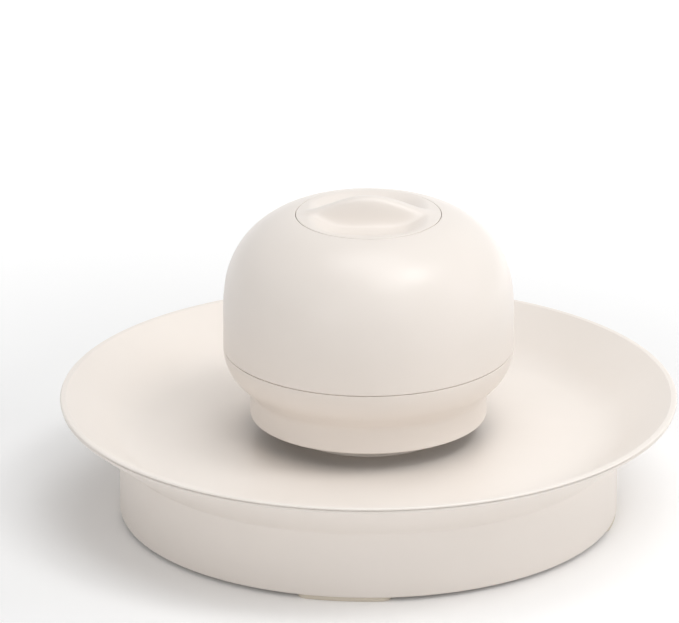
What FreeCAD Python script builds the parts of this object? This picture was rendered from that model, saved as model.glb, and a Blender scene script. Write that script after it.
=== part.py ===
import FreeCAD, Part
import math
import os
import re

import Sketcher

# Gravity pet feeder: a round dish on a hollow base, with a domed hopper over a
# spreading cone in the middle of the dish. Dry food runs down the cone and out
# through the gap under the hopper's outlet ring. Every length is in millimetres.
# The origin is on the floor under the middle of the dish, +Z is up, -Y is the front.

DRIVING = {
    # Dish: a shallow bowl with a flat floor, a soft blend and a straight flared wall
    "rim_radius": 180.0,
    "rim_height": 71.3,
    "rim_width": 3.5,
    "rim_round": 1.2,
    "floor_height": 49.0,
    "dish_wall": 3.0,
    "dish_slope": 32.4,
    "dish_blend": 42.0,
    # Lock socket in the middle of the dish, and the lugs inside its mouth
    "socket_radius": 24.0,
    "socket_depth": 13.0,
    "socket_lip": 2.0,
    "lug_reach": 2.5,
    "lug_height": 3.0,
    "lug_angle": 30.0,
    "lug_count": 3,
    "lock_play": 2.0,
    "lock_float": 1.0,
    # Screw posts under the dish
    "post_margin": 12.0,
    "post_radius": 5.0,
    "post_count": 4,
    # Base shell: round wall with a collar that flares out under the dish's rim
    "wall_margin": 4.14,
    "base_wall": 3.0,
    "base_chamfer": 0.8,
    "wall_drop": 7.4,
    "edge_drop": 3.4,
    "collar_inset": 0.6,
    "collar_wall": 2.5,
    "flange_reach": 18.5,
    "flange_thickness": 4.0,
    "ledge_width": 5.0,
    # Bottom plate: a stepped disc that closes the base
    "plate_thickness": 2.0,
    "step_inset": 25.0,
    "plate_step_height": 3.0,
    "step_slope": 45.0,
    "plate_recess": 0.2,
    # Plate screws
    "screw_radius": 1.5,
    "screw_length": 14.0,
    "head_radius": 3.2,
    "head_height": 1.6,
    "pilot_gap": 0.05,
    # Foot pads: curved strips with rounded ends
    "foot_count": 4,
    "foot_height": 2.3,
    "foot_width": 12.0,
    "foot_inset": 0.4,
    "foot_angle": 22.0,
    "foot_turn": 5.6,
    "foot_end_share": 0.45,
    "tongue_width": 4.0,
    "tongue_height": 1.6,
    "tongue_margin": 4.0,
    "groove_play": 0.4,
    # Spreading cone, with the spindle that carries the hopper
    "cone_inset": 20.3,
    "cone_edge": 2.5,
    "cone_wall": 2.5,
    "cone_land": 1.0,
    "cone_lip": 1.5,
    "ceiling_drop": 2.0,
    "spindle_radius": 9.0,
    "spindle_rise": 20.0,
    "spindle_wall": 2.5,
    "spindle_chamfer": 1.0,
    "shoulder_radius": 13.0,
    "hub_drop": 18.3,
    # Outlet ring: funnel, neck and skirt, with a hub on four arms inside
    "funnel_radius": 84.6,
    "funnel_round": 26.7,
    "funnel_turn": 48.0,
    "ring_wall": 2.6,
    "neck_inset": 18.3,
    "neck_round": 4.0,
    "skirt_flare": 2.7,
    "skirt_length": 11.754,
    "outlet_gap": 11.4,
    "hub_wall": 3.5,
    "hub_length": 18.0,
    "arm_thickness": 3.0,
    "arm_height": 12.0,
    "arm_count": 4,
    "spigot_height": 9.5,
    "spigot_wall": 3.0,
    # Twist lock between the outlet ring and the dome
    "key_reach": 1.6,
    "key_height": 2.6,
    "key_rise": 2.2,
    "key_angle": 14.0,
    "key_count": 4,
    "key_turn": 18.0,
    "key_play": 1.0,
    "entry_step": 0.1,
    # Dome: straight wall, a long side arc and a shoulder arc, each tangent to the next
    "dome_wall": 2.8,
    "dome_straight": 21.2,
    "side_round": 120.0,
    "side_turn": 8.1,
    "shoulder_round": 50.0,
    "mouth_radius": 42.4,
    "mouth_step": 3.6,
    "mouth_ledge": 4.4,
    "mouth_depth": 12.5,
    "mouth_wall": 2.5,
    # Lid: a crowned cap with a finger hollow on each side of a pinch ridge
    "lid_gap": 0.3,
    "crown_round": 280.0,
    "lid_wall": 2.5,
    "ridge_rise": 7.8,
    "hollow_depth": 7.5,
    "hollow_place": 0.34,
    "hollow_length": 0.84,
    "hollow_spread": 1.4,
    "lid_skirt_wall": 2.2,
    "lid_skirt_depth": 4.6,
    "lid_slack": 0.8,
    "plug_wall": 2.2,
    "plug_floor": 2.0,
    "plug_flange": 2.4,
    "plug_chamfer": 1.0,
    "plug_reach": 2.0,
    "seal_height": 3.4,
    "seal_notch": 0.4,
    # Clearances: slip is for pieces that turn or lift, snug for pieces that stay together
    "slip_gap": 0.3,
    "snug_gap": 0.15,
    # How far a feature sinks into the wall that it grows from, and how far a cut runs past
    "root_depth": 0.5,
    "cut_margin": 1.0,
}

# Sizes and places that follow from the driving ones
FOLLOWING = {
    # Straight wall of the dish carried down to the floor, and the blend's two ends
    "slope_foot": "rim_radius - rim_width - (rim_height - floor_height) / tan(dish_slope * 1 deg)",
    "blend_tangent": "dish_blend * tan(dish_slope * 0.5 deg)",
    "blend_start": "slope_foot - blend_tangent",
    "blend_end": "slope_foot + blend_tangent * cos(dish_slope * 1 deg)",
    "blend_end_height": "floor_height + blend_tangent * sin(dish_slope * 1 deg)",
    "under_end": "blend_end + dish_wall * sin(dish_slope * 1 deg)",
    "under_end_height": "blend_end_height - dish_wall * cos(dish_slope * 1 deg)",
    "under_floor": "floor_height - dish_wall",
    "under_rim": "under_end_height + (rim_radius - under_end) * tan(dish_slope * 1 deg)",
    "socket_floor": "floor_height - socket_depth",
    "lug_top": "floor_height - socket_lip",
    # Base shell: its wall stands just outside the foot of the dish's flare, and the top
    # edge of its collar lies along the underside of the dish
    "base_radius": "slope_foot + wall_margin",
    "collar_height": "floor_height - wall_drop",
    "collar_edge_height": "rim_height - edge_drop",
    "collar_edge": "rim_radius - collar_inset",
    "collar_rise": "(collar_edge_height - collar_height) / (collar_edge - base_radius)",
    "collar_thick": "collar_wall * sqrt(1 + collar_rise * collar_rise)",
    "seam_drop": "snug_gap / cos(dish_slope * 1 deg)",
    "collar_tip": "under_rim - seam_drop - collar_inset * tan(dish_slope * 1 deg)",
    "scarf_gain": "collar_tip - collar_edge_height - collar_thick",
    "scarf_edge": "collar_edge - scarf_gain / (tan(dish_slope * 1 deg) - collar_rise)",
    "scarf_height": "collar_tip - (collar_edge - scarf_edge) * tan(dish_slope * 1 deg)",
    "base_bore": "base_radius - base_wall",
    "collar_foot": "collar_height + collar_thick - base_wall * collar_rise",
    # Flange inside the foot of the base shell, and the plate that it carries
    "flange_bore": "base_radius - flange_reach",
    "flange_top": "foot_height + flange_thickness",
    "ledge_radius": "flange_bore + ledge_width",
    "plate_radius": "ledge_radius - slip_gap",
    "post_circle": "flange_bore - post_margin",
    "plate_step_radius": "post_circle - step_inset",
    "plate_under": "foot_height + plate_recess",
    "plate_top": "plate_under + plate_thickness",
    "step_foot": "plate_step_radius - plate_step_height / tan(step_slope * 1 deg)",
    "step_shift": "plate_thickness * tan(step_slope * 0.5 deg)",
    "pilot_radius": "screw_radius + pilot_gap",
    "foot_outer": "base_radius - foot_inset",
    "foot_inner": "foot_outer - foot_width",
    "tongue_middle": "foot_outer - foot_width / 2",
    "tongue_top": "foot_height + tongue_height",
    "tongue_angle": "foot_angle - tongue_margin",
    "tongue_inner": "tongue_middle - tongue_width / 2",
    "tongue_outer": "tongue_middle + tongue_width / 2",
    # Lock under the cone: its lugs sit below the socket's and turn between them
    "plug_radius": "socket_radius - lug_reach - slip_gap",
    "catch_radius": "socket_radius - slip_gap",
    "catch_top": "lug_top - lug_height - slip_gap",
    "catch_angle": "lug_angle - lock_play",
    "lock_foot": "socket_floor + lock_float",
    # Outlet ring from below: the skirt, the neck fillet, the straight funnel and the shoulder arc
    "skirt_height": "floor_height + outlet_gap",
    "neck_height": "skirt_height + skirt_length",
    "neck_radius": "funnel_radius - neck_inset",
    "skirt_radius": "neck_radius + skirt_flare",
    "neck_middle": "neck_radius + neck_round",
    "neck_entry": "neck_middle - neck_round * cos(funnel_turn * 1 deg)",
    "neck_entry_height": "neck_height + neck_round * sin(funnel_turn * 1 deg)",
    "round_middle": "funnel_radius - funnel_round",
    "funnel_start": "round_middle + funnel_round * cos(funnel_turn * 1 deg)",
    "funnel_climb": "(funnel_start - neck_entry) / tan(funnel_turn * 1 deg)",
    "funnel_start_height": "neck_entry_height + funnel_climb",
    "seam_height": "funnel_start_height + funnel_round * sin(funnel_turn * 1 deg)",
    "inner_round": "funnel_round - ring_wall",
    "inner_start": "round_middle + inner_round * cos(funnel_turn * 1 deg)",
    "inner_start_height": "seam_height - inner_round * sin(funnel_turn * 1 deg)",
    "inner_neck_round": "neck_round + ring_wall",
    "inner_entry": "neck_middle - inner_neck_round * cos(funnel_turn * 1 deg)",
    "inner_entry_height": "neck_height + inner_neck_round * sin(funnel_turn * 1 deg)",
    "inner_neck": "neck_radius - ring_wall",
    "inner_skirt": "skirt_radius - ring_wall",
    # Spigot that stands up inside the dome
    "dome_bore": "funnel_radius - dome_wall",
    "spigot_radius": "dome_bore - slip_gap",
    "spigot_bore": "spigot_radius - spigot_wall",
    "spigot_top": "seam_height + spigot_height",
    "spigot_reach": "spigot_bore - round_middle",
    "spigot_foot": "seam_height - sqrt(inner_round * inner_round - spigot_reach * spigot_reach)",
    "key_foot": "seam_height + key_rise",
    "key_top": "key_foot + key_height",
    "key_inner": "dome_bore - key_reach",
    "slot_radius": "key_inner - slip_gap",
    "entry_radius": "slot_radius - entry_step",
    "slot_foot": "key_foot - slip_gap",
    "slot_top": "key_top + slip_gap",
    "key_side": "key_angle / 2 + key_play",
    "entry_start": "key_turn - key_side",
    # Cone under the hopper: its shoulder carries the hub
    "shoulder_height": "seam_height - hub_drop",
    "spindle_height": "shoulder_height + spindle_rise",
    "cone_radius": "neck_radius - cone_inset",
    "cone_foot": "floor_height + slip_gap",
    "cone_top": "cone_foot + cone_edge",
    "cone_rise": "(shoulder_height - cone_top) / (cone_radius - shoulder_radius)",
    "cone_thick": "cone_wall * sqrt(1 + cone_rise * cone_rise)",
    "cone_hollow": "cone_radius - (cone_thick - cone_edge) / cone_rise - cone_land",
    "lock_bore": "plug_radius - cone_wall",
    "cone_ceiling": "shoulder_height - cone_thick - ceiling_drop",
    "spindle_bore": "spindle_radius - spindle_wall",
    # Hub on the cone's spindle
    "hub_bore": "spindle_radius + slip_gap",
    "hub_radius": "hub_bore + hub_wall",
    "hub_foot": "shoulder_height",
    "hub_top": "hub_foot + hub_length",
    "arm_foot": "hub_top - arm_height",
    "arm_end": "spigot_bore + root_depth",
    # Dome outline: where the arcs meet, and the mouth's edge on the shoulder arc
    "straight_height": "seam_height + dome_straight",
    "side_middle": "funnel_radius - side_round",
    "side_end": "side_middle + side_round * cos(side_turn * 1 deg)",
    "side_end_height": "straight_height + side_round * sin(side_turn * 1 deg)",
    "shoulder_middle": "side_end - shoulder_round * cos(side_turn * 1 deg)",
    "shoulder_middle_height": "side_end_height - shoulder_round * sin(side_turn * 1 deg)",
    "mouth_reach": "mouth_radius - shoulder_middle",
    "mouth_rise": "sqrt(shoulder_round * shoulder_round - mouth_reach * mouth_reach)",
    "mouth_height": "shoulder_middle_height + mouth_rise",
    "side_inner": "side_round - dome_wall",
    "side_inner_end": "side_middle + side_inner * cos(side_turn * 1 deg)",
    "side_inner_height": "straight_height + side_inner * sin(side_turn * 1 deg)",
    "shoulder_inner": "shoulder_round - dome_wall",
    "collar_outer": "mouth_radius + mouth_wall",
    "collar_reach": "collar_outer - shoulder_middle",
    "collar_drop": "sqrt(shoulder_inner * shoulder_inner - collar_reach * collar_reach)",
    "collar_outer_height": "shoulder_middle_height + collar_drop",
    "ledge_height": "mouth_height - mouth_step",
    "ledge_under": "ledge_height - mouth_wall",
    "throat_radius": "mouth_radius - mouth_ledge",
    "throat_outer": "throat_radius + mouth_wall",
    "throat_foot": "mouth_height - mouth_depth",
    # Lid cap, plug and seal
    "lid_radius": "mouth_radius - lid_gap",
    "lid_reach": "lid_radius - shoulder_middle",
    "lid_edge_rise": "sqrt(shoulder_round * shoulder_round - lid_reach * lid_reach)",
    "lid_edge_height": "shoulder_middle_height + lid_edge_rise",
    "crown_rise": "sqrt(crown_round * crown_round - lid_radius * lid_radius)",
    "crown_middle_height": "lid_edge_height - crown_rise",
    "lid_clear": "crown_middle_height + crown_round + ridge_rise + cut_margin",
    "lid_skirt": "throat_radius - lid_slack",
    "lid_skirt_bore": "lid_skirt - lid_skirt_wall",
    "lid_skirt_foot": "ledge_height - lid_skirt_depth",
    "seal_foot": "lid_skirt_foot - seal_height",
    "seal_radius": "throat_radius - slip_gap",
    "seal_valley": "lid_skirt - seal_notch",
    "seal_top": "lid_skirt_foot - snug_gap",
    "plug_outer": "lid_skirt_bore - snug_gap",
    "plug_bore": "plug_outer - plug_wall",
    "plug_top": "lid_skirt_foot + plug_reach",
    "plug_shoulder": "seal_foot - snug_gap",
    "plug_foot": "plug_shoulder - plug_flange",
    "plug_inside": "plug_foot + plug_floor",
}

FRONT = -90.0
FOOT_NAMES = ["front", "right", "rear", "left"]
# Steps across the lid's skin each way, and how closely two lengths count as the same
SKIN_STEPS = 36
SAME_LENGTH = 0.01

doc = FreeCAD.newDocument("gravity_pet_feeder")


# The two sheets: plain numbers in Sizes, and in Fits what follows from them
def fill_sheet(name, rows):
    sheet = doc.addObject("Spreadsheet::Sheet", name)
    for row, (alias, content) in enumerate(rows.items(), start=1):
        sheet.set(f"A{row}", content)
        sheet.setAlias(f"A{row}", alias)
    doc.recompute()
    return sheet


def link(text, home=""):
    """Write each size's name as sheet.name. A size's name has an underscore in it."""

    def address(match):
        word = match.group(0)
        sheet = "Sizes" if word in DRIVING else "Fits"
        return word if sheet == home else f"{sheet}.{word}"

    return re.sub(r"[a-z]+(?:_[a-z]+)+", address, text)


sizes = fill_sheet("Sizes", {name: str(value) for name, value in DRIVING.items()})
fits = fill_sheet("Fits", {name: "=" + link(text, "Fits") for name, text in FOLLOWING.items()})


def size(text):
    """The value of a size, or of a sum of sizes, as the sheets have it now."""
    return float(sizes.evalExpression(link(text)))


def bind(item, field, text):
    item.setExpression(field, link(text))


# Sketches and features
def new_body(label):
    body = doc.addObject("PartDesign::Body", label)
    body.Label = label
    return body


def origin_part(body, role):
    return next(part for part in body.Origin.OriginFeatures if part.Role == role)


def attach(sketch, body, role):
    sketch.AttachmentSupport = [(origin_part(body, role), "")]
    sketch.MapMode = "FlatFace"


def outline_sketch(body, name, corners, turn="0"):
    """A closed outline in the upright plane through the axis, turned about it by some degrees.

    A corner is (radius, height), and the line to the next corner is straight. A third
    value makes it an arc of that radius, and "-" before it puts the centre on the right.
    """
    sketch = body.newObject("Sketcher::SketchObject", name)
    attach(sketch, body, "XZ_Plane")
    sketch.AttachmentOffset = FreeCAD.Placement(
        FreeCAD.Vector(0, 0, 0), FreeCAD.Rotation(FreeCAD.Vector(0, 1, 0), size(turn))
    )
    if turn != "0":
        bind(sketch, "AttachmentOffset.Rotation.Angle", turn)
    count = len(corners)
    points = [FreeCAD.Vector(size(corner[0]), size(corner[1]), 0) for corner in corners]
    starts = []
    ends = []
    for index, corner in enumerate(corners):
        here = points[index]
        there = points[(index + 1) % count]
        if len(corner) == 2:
            edge = sketch.addGeometry(Part.LineSegment(here, there), False)
            starts.append((edge, 1))
            ends.append((edge, 2))
            continue
        bend = corner[2]
        rightward = bend.startswith("-")
        radius_text = bend.lstrip("-")
        radius = size(radius_text)
        along = there - here
        side = FreeCAD.Vector(-along.y, along.x, 0).normalize() * (-1 if rightward else 1)
        centre = (here + there) * 0.5 + side * math.sqrt(radius**2 - along.Length**2 / 4)
        middle = centre - side * radius
        edge = sketch.addGeometry(Part.Arc(here, middle, there), False)
        starts.append((edge, 2 if rightward else 1))
        ends.append((edge, 1 if rightward else 2))
        held = sketch.addConstraint(Sketcher.Constraint("Radius", edge, radius))
        bind(sketch, f"Constraints[{held}]", radius_text)
    for index, corner in enumerate(corners):
        edge, end = starts[index]
        before, before_end = ends[index - 1]
        sketch.addConstraint(Sketcher.Constraint("Coincident", before, before_end, edge, end))
        for kind, text, value in (
            ("DistanceX", corner[0], points[index].x),
            ("DistanceY", corner[1], points[index].y),
        ):
            held = sketch.addConstraint(Sketcher.Constraint(kind, -1, 1, edge, end, value))
            if text != "0":
                bind(sketch, f"Constraints[{held}]", text)
    return sketch


def circle_sketch(body, name, circles, height="0"):
    """Circles in a level plane: each is (x, y, radius)."""
    sketch = body.newObject("Sketcher::SketchObject", name)
    attach(sketch, body, "XY_Plane")
    if height != "0":
        bind(sketch, "AttachmentOffset.Base.z", height)
    for across, along, radius in circles:
        centre = FreeCAD.Vector(size(across), size(along), 0)
        upward = FreeCAD.Vector(0, 0, 1)
        ring = sketch.addGeometry(Part.Circle(centre, upward, size(radius)), False)
        held = sketch.addConstraint(Sketcher.Constraint("Radius", ring, size(radius)))
        bind(sketch, f"Constraints[{held}]", radius)
        for kind, text, value in (("DistanceX", across, centre.x), ("DistanceY", along, centre.y)):
            held = sketch.addConstraint(Sketcher.Constraint(kind, -1, 1, ring, 3, value))
            if text != "0":
                bind(sketch, f"Constraints[{held}]", text)
    return sketch


def spin(body, name, corners, sweep="360", centred=False, cut=False, turn="0"):
    """Turn an outline about the upright axis, to add material or to cut it away."""
    sketch = outline_sketch(body, name + "_outline", corners, turn)
    feature = body.newObject("PartDesign::Groove" if cut else "PartDesign::Revolution", name)
    feature.Profile = sketch
    feature.ReferenceAxis = (sketch, ["V_Axis"])
    feature.Angle = size(sweep)
    if sweep != "360":
        bind(feature, "Angle", sweep)
    feature.Midplane = centred
    return feature


def push(body, name, sketch, length, cut=False, centred=False, backwards=False):
    """Pad or pocket a sketch by a length."""
    feature = body.newObject("PartDesign::Pocket" if cut else "PartDesign::Pad", name)
    feature.Profile = sketch
    feature.Length = size(length)
    bind(feature, "Length", length)
    feature.Midplane = centred
    feature.Reversed = backwards
    return feature


def around(body, name, features, count):
    """Repeat features evenly about the upright axis."""
    pattern = body.newObject("PartDesign::PolarPattern", name)
    pattern.Originals = features
    pattern.Axis = (origin_part(body, "Z_Axis"), [""])
    pattern.Angle = 360
    pattern.Occurrences = int(size(count))
    bind(pattern, "Occurrences", count)
    body.Tip = pattern
    return pattern


# Dish: bowl, lock socket in its middle, screw posts underneath
def make_dish():
    body = new_body("dish")
    spin(
        body,
        "bowl",
        [
            ("0", "socket_floor - dish_wall"),
            ("socket_radius + dish_wall", "socket_floor - dish_wall"),
            ("socket_radius + dish_wall", "under_floor"),
            ("blend_start", "under_floor", "dish_blend + dish_wall"),
            ("under_end", "under_end_height"),
            ("rim_radius", "under_rim"),
            ("rim_radius", "rim_height - rim_round", "rim_round"),
            ("rim_radius - rim_round", "rim_height"),
            ("rim_radius - rim_width", "rim_height"),
            ("blend_end", "blend_end_height", "-dish_blend"),
            ("blend_start", "floor_height"),
            ("socket_radius", "floor_height"),
            ("socket_radius", "socket_floor"),
            ("0", "socket_floor"),
        ],
    )
    lug = spin(
        body,
        "socket_lug",
        [
            ("socket_radius - lug_reach", "lug_top - lug_height"),
            ("socket_radius + root_depth", "lug_top - lug_height"),
            ("socket_radius + root_depth", "lug_top"),
            ("socket_radius - lug_reach", "lug_top"),
        ],
        sweep="lug_angle",
        centred=True,
    )
    around(body, "socket_lugs", [lug], "lug_count")
    post = push(
        body,
        "post",
        circle_sketch(body, "post_outline", [("post_circle", "0", "post_radius")], "plate_top"),
        "under_floor - plate_top + dish_wall / 2",
    )
    pilot = push(
        body,
        "pilot",
        circle_sketch(body, "pilot_outline", [("post_circle", "0", "pilot_radius")], "plate_top"),
        "screw_length",
        cut=True,
        backwards=True,
    )
    around(body, "posts", [post, pilot], "post_count")
    return body


# Base shell: wall, flared collar, inner flange with a ledge, and a groove for each foot pad
def make_base_shell():
    body = new_body("base_shell")
    spin(
        body,
        "shell",
        [
            ("flange_bore", "plate_top"),
            ("ledge_radius", "plate_top"),
            ("ledge_radius", "foot_height"),
            ("base_radius - base_chamfer", "foot_height"),
            ("base_radius", "foot_height + base_chamfer"),
            ("base_radius", "collar_height"),
            ("collar_edge", "collar_edge_height"),
            ("collar_edge", "collar_tip"),
            ("scarf_edge", "scarf_height"),
            ("base_bore", "collar_foot"),
            ("base_bore", "flange_top"),
            ("flange_bore", "flange_top"),
        ],
    )
    groove = spin(
        body,
        "foot_groove",
        [
            ("tongue_inner - snug_gap", "foot_height - cut_margin"),
            ("tongue_outer + snug_gap", "foot_height - cut_margin"),
            ("tongue_outer + snug_gap", "tongue_top + snug_gap"),
            ("tongue_inner - snug_gap", "tongue_top + snug_gap"),
        ],
        sweep="tongue_angle + groove_play",
        centred=True,
        cut=True,
        turn=f"{FRONT} - foot_turn",
    )
    around(body, "foot_grooves", [groove], "foot_count")
    return body


# Bottom plate: stepped disc with a hole for each screw
def make_bottom_plate():
    body = new_body("bottom_plate")
    spin(
        body,
        "disc",
        [
            ("0", "plate_under + plate_step_height"),
            ("step_foot", "plate_under + plate_step_height"),
            ("plate_step_radius", "plate_under"),
            ("plate_radius", "plate_under"),
            ("plate_radius", "plate_top"),
            ("plate_step_radius + step_shift", "plate_top"),
            ("step_foot + step_shift", "plate_top + plate_step_height"),
            ("0", "plate_top + plate_step_height"),
        ],
    )
    hole = push(
        body,
        "screw_hole",
        circle_sketch(
            body, "hole_outline", [("post_circle", "0", "screw_radius + slip_gap")], "plate_under"
        ),
        "plate_thickness",
        cut=True,
        backwards=True,
    )
    around(body, "screw_holes", [hole], "post_count")
    return body


# Plate screws: pan heads under the plate, shanks up into the posts
def make_plate_screws():
    body = new_body("plate_screws")
    body.AllowCompound = True
    head = push(
        body,
        "head",
        circle_sketch(
            body, "head_outline", [("post_circle", "0", "head_radius")], "plate_under - head_height"
        ),
        "head_height",
    )
    shank = push(
        body,
        "shank",
        circle_sketch(
            body, "shank_outline", [("post_circle", "0", "screw_radius")], "plate_under - root_depth"
        ),
        "screw_length + root_depth",
    )
    around(body, "screws", [head, shank], "post_count")
    return body


# Foot pads: a curved strip under the wall, with a tongue that is pressed into the groove
def make_foot_pad(label, place):
    body = new_body(label)
    pad = spin(
        body,
        "strip",
        [
            ("foot_inner", "0"),
            ("foot_outer", "0"),
            ("foot_outer", "foot_height"),
            ("foot_inner", "foot_height"),
        ],
        sweep="foot_angle",
        centred=True,
    )
    doc.recompute()
    uprights = [
        f"Edge{number}"
        for number, edge in enumerate(pad.Shape.Edges, start=1)
        if abs(edge.BoundBox.ZLength - size("foot_height")) < SAME_LENGTH
    ]
    ends = body.newObject("PartDesign::Fillet", "rounded_ends")
    ends.Base = (pad, uprights)
    ends.Radius = size("foot_width * foot_end_share")
    bind(ends, "Radius", "foot_width * foot_end_share")
    spin(
        body,
        "tongue",
        [
            ("tongue_inner", "foot_height - root_depth"),
            ("tongue_outer", "foot_height - root_depth"),
            ("tongue_outer", "tongue_top"),
            ("tongue_inner", "tongue_top"),
        ],
        sweep="tongue_angle",
        centred=True,
    )
    body.Placement.Rotation = FreeCAD.Rotation(FreeCAD.Vector(0, 0, 1), 90)
    bind(body, "Placement.Rotation.Angle", f"{FRONT} - foot_turn + 360 * {place} / foot_count")
    return body


# Spreading cone: hollow cone, lock plug with lugs below it, spindle above it
def make_flow_cone():
    body = new_body("flow_cone")
    spin(
        body,
        "cone",
        [
            ("lock_bore", "lock_foot"),
            ("plug_radius", "lock_foot"),
            ("plug_radius", "cone_ceiling - (plug_radius - shoulder_radius) * cone_rise"),
            ("cone_hollow", "cone_foot + cone_lip"),
            ("cone_hollow", "cone_foot"),
            ("cone_radius", "cone_foot"),
            ("cone_radius", "cone_top"),
            ("shoulder_radius", "shoulder_height"),
            ("spindle_radius", "shoulder_height"),
            ("spindle_radius", "spindle_height - spindle_chamfer"),
            ("spindle_radius - spindle_chamfer", "spindle_height"),
            ("0", "spindle_height"),
            ("0", "spindle_height - spindle_wall"),
            ("spindle_bore", "spindle_height - spindle_wall"),
            ("spindle_bore", "cone_ceiling"),
            ("lock_bore", "cone_ceiling - (lock_bore - shoulder_radius) * cone_rise"),
        ],
    )
    catch = spin(
        body,
        "catch",
        [
            ("plug_radius - root_depth", "lock_foot"),
            ("catch_radius", "lock_foot"),
            ("catch_radius", "catch_top"),
            ("plug_radius - root_depth", "catch_top"),
        ],
        sweep="catch_angle",
        centred=True,
    )
    around(body, "catches", [catch], "lug_count")
    return body


# Outlet ring: funnel, neck, skirt and spigot in one wall, arms to the hub, slots for the dome
def make_outlet_ring():
    body = new_body("outlet_ring")
    spin(
        body,
        "ring",
        [
            ("inner_skirt", "skirt_height"),
            ("skirt_radius", "skirt_height"),
            ("neck_radius", "neck_height", "-neck_round"),
            ("neck_entry", "neck_entry_height"),
            ("funnel_start", "funnel_start_height", "funnel_round"),
            ("funnel_radius", "seam_height"),
            ("spigot_radius", "seam_height"),
            ("spigot_radius", "spigot_top"),
            ("spigot_bore", "spigot_top"),
            ("spigot_bore", "spigot_foot", "-inner_round"),
            ("inner_start", "inner_start_height"),
            ("inner_entry", "inner_entry_height", "inner_neck_round"),
            ("inner_neck", "neck_height"),
        ],
    )
    spin(
        body,
        "hub",
        [
            ("hub_bore", "hub_foot"),
            ("hub_radius", "hub_foot"),
            ("hub_radius", "hub_top"),
            ("hub_bore", "hub_top"),
        ],
    )
    arm = push(
        body,
        "arm",
        outline_sketch(
            body,
            "arm_outline",
            [
                ("hub_bore + hub_wall / 2", "arm_foot"),
                ("arm_end", "arm_foot"),
                ("arm_end", "hub_top"),
                ("hub_bore + hub_wall / 2", "hub_top"),
            ],
        ),
        "arm_thickness",
        centred=True,
    )
    around(body, "arms", [arm], "arm_count")
    rest = spin(
        body,
        "key_rest",
        [
            ("slot_radius", "slot_foot"),
            ("spigot_radius + cut_margin", "slot_foot"),
            ("spigot_radius + cut_margin", "slot_top"),
            ("slot_radius", "slot_top"),
        ],
        sweep="entry_start + key_side + cut_margin",
        cut=True,
        turn="0 - key_side",
    )
    entry = spin(
        body,
        "key_entry",
        [
            ("entry_radius", "slot_foot"),
            ("spigot_radius + cut_margin", "slot_foot"),
            ("spigot_radius + cut_margin", "spigot_top + cut_margin"),
            ("entry_radius", "spigot_top + cut_margin"),
        ],
        sweep="2 * key_side",
        cut=True,
        turn="entry_start",
    )
    around(body, "key_slots", [rest, entry], "key_count")
    return body


# Dome: two tangent arcs over a straight wall, a stepped mouth for the lid, keys inside its foot
def make_hopper_dome():
    body = new_body("hopper_dome")
    spin(
        body,
        "shell",
        [
            ("dome_bore", "seam_height"),
            ("funnel_radius", "seam_height"),
            ("funnel_radius", "straight_height", "side_round"),
            ("side_end", "side_end_height", "shoulder_round"),
            ("mouth_radius", "mouth_height"),
            ("mouth_radius", "ledge_height"),
            ("throat_radius", "ledge_height"),
            ("throat_radius", "throat_foot"),
            ("throat_outer", "throat_foot"),
            ("throat_outer", "ledge_under"),
            ("collar_outer", "ledge_under"),
            ("collar_outer", "collar_outer_height", "-shoulder_inner"),
            ("side_inner_end", "side_inner_height", "-side_inner"),
            ("dome_bore", "straight_height"),
        ],
    )
    key = spin(
        body,
        "key",
        [
            ("key_inner", "key_foot"),
            ("dome_bore + root_depth", "key_foot"),
            ("dome_bore + root_depth", "key_top"),
            ("key_inner", "key_top"),
        ],
        sweep="key_angle",
        centred=True,
    )
    around(body, "keys", [key], "key_count")
    return body


# Lid cap: one smooth skin, arched up into the pinch ridge and sunk into a hollow on each side
def ease(share):
    """Falls smoothly from 1 at 0 to 0 at 1."""
    return 0.5 * (1 + math.cos(math.pi * min(abs(share), 1)))


def lid_height(across, along):
    """Height of the lid's skin: the dome's crown carried on, plus the ridge, less the hollows."""
    lid_radius = size("lid_radius")
    crown = size("crown_round")
    place = size("hollow_place")
    reach = across / lid_radius
    level = size("crown_middle_height") + math.sqrt(crown**2 - across**2 - along**2)
    if abs(reach) >= 1 or math.hypot(across, along) >= lid_radius:
        return level
    depth = abs(along) / (lid_radius * math.sqrt(1 - reach**2))
    ridge = size("ridge_rise") * ease(reach)
    hollow = size("hollow_depth") * max(0, 1 - (reach / size("hollow_length")) ** 4) ** 2
    if depth < place:
        return level + (ridge + hollow) * ease(1 - ease(depth / place)) - hollow
    return level - hollow * ease(((depth - place) / (1 - place)) ** size("hollow_spread"))


def tube(outer, bore, foot):
    """An upright ring from a foot height to above the lid."""
    upward = FreeCAD.Vector(0, 0, 1)
    start = FreeCAD.Vector(0, 0, size(foot))
    tall = size("lid_clear") - size(foot)
    ring = Part.makeCylinder(size(outer), tall, start, upward)
    if bore:
        ring = ring.cut(Part.makeCylinder(size(bore), tall, start, upward))
    return ring


def make_lid_cap():
    edge = size("lid_radius + cut_margin")
    spacing = 2 * edge / SKIN_STEPS
    places = [-edge + step * spacing for step in range(SKIN_STEPS + 1)]
    heights = [[lid_height(across, along) for along in places] for across in places]
    skin = Part.BSplineSurface()
    skin.interpolate(heights, -edge, spacing, -edge, spacing)
    plate = skin.toShape().extrude(FreeCAD.Vector(0, 0, -size("lid_wall")))
    filled = skin.toShape().extrude(FreeCAD.Vector(0, 0, -size("lid_clear - lid_skirt_foot")))
    top = plate.common(tube("lid_radius", "", "lid_skirt_foot"))
    flange = tube("lid_radius", "lid_skirt_bore", "ledge_height")
    skirt = tube("lid_skirt", "lid_skirt_bore", "lid_skirt_foot")
    walls = flange.fuse(skirt).common(filled)
    cap = doc.addObject("Part::Feature", "lid_cap")
    cap.Label = "lid_cap"
    cap.Shape = top.fuse(walls).removeSplitter()
    return cap


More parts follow.
